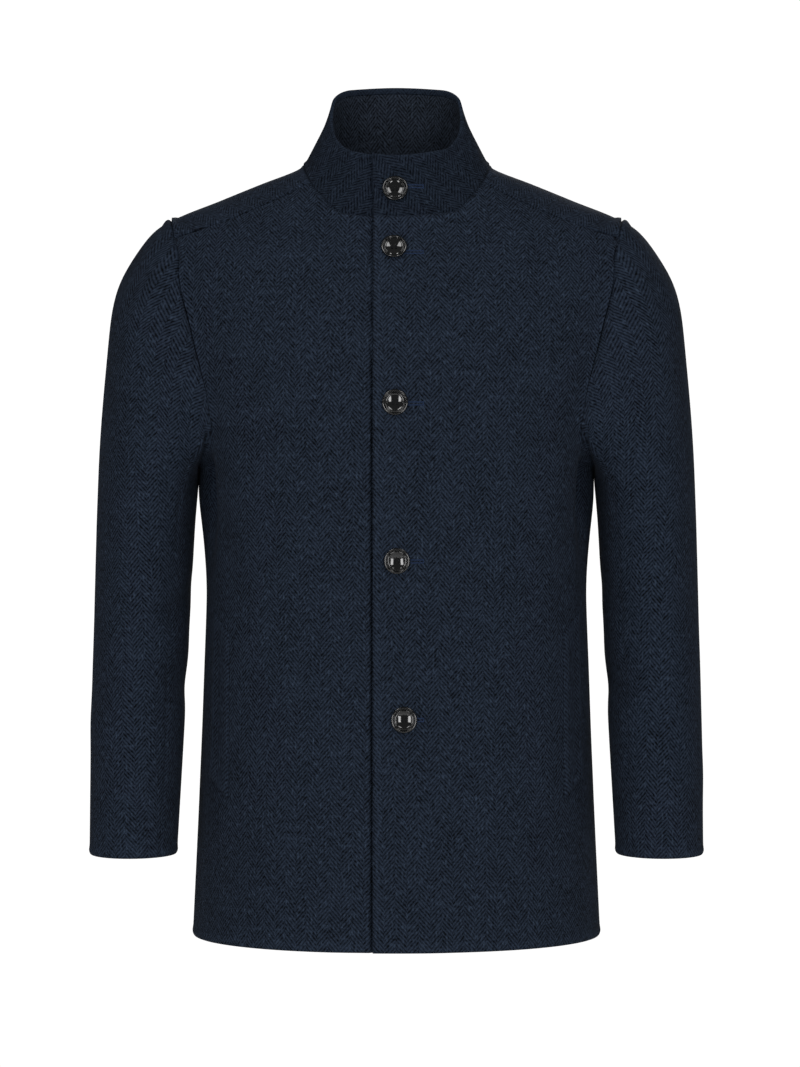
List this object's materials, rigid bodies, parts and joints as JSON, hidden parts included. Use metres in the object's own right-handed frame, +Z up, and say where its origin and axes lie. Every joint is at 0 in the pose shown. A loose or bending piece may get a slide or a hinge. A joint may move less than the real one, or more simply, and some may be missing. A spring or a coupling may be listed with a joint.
{
  "type": "overcoat",
  "caption": "Hip-length stand-collar overcoat of dark herringbone wool, worn shape kept hollow, buttoned down the front, with set-in sleeves and upright side pockets.",
  "frame": {"origin": "middle of the neck opening, level with the points where the shoulder line meets the collar", "axes": "+Z up the coat from hem to collar, -Y out of its buttoned front, +X towards the wearer's left"},
  "size_m": [0.6036, 0.294, 0.8527],
  "materials": {
    "cloth": "napped herringbone wool",
    "cloth_inside": "napped herringbone wool",
    "buttons": "polished"
  },
  "bodies": {
    "root": {"front_left": "cloth", "front_right": "cloth", "back": "cloth", "sleeve_left_top": "cloth", "sleeve_left_under": "cloth", "sleeve_right_top": "cloth", "sleeve_right_under": "cloth", "collar_outer": "cloth", "pocket_welt_left": "cloth", "pocket_welt_right": "cloth", "collar_inner": "cloth_inside", "back_neck_facing": "cloth_inside", "button_1": "buttons", "button_2": "buttons", "button_3": "buttons", "button_4": "buttons", "button_5": "buttons"}
  },
  "joints": []
}
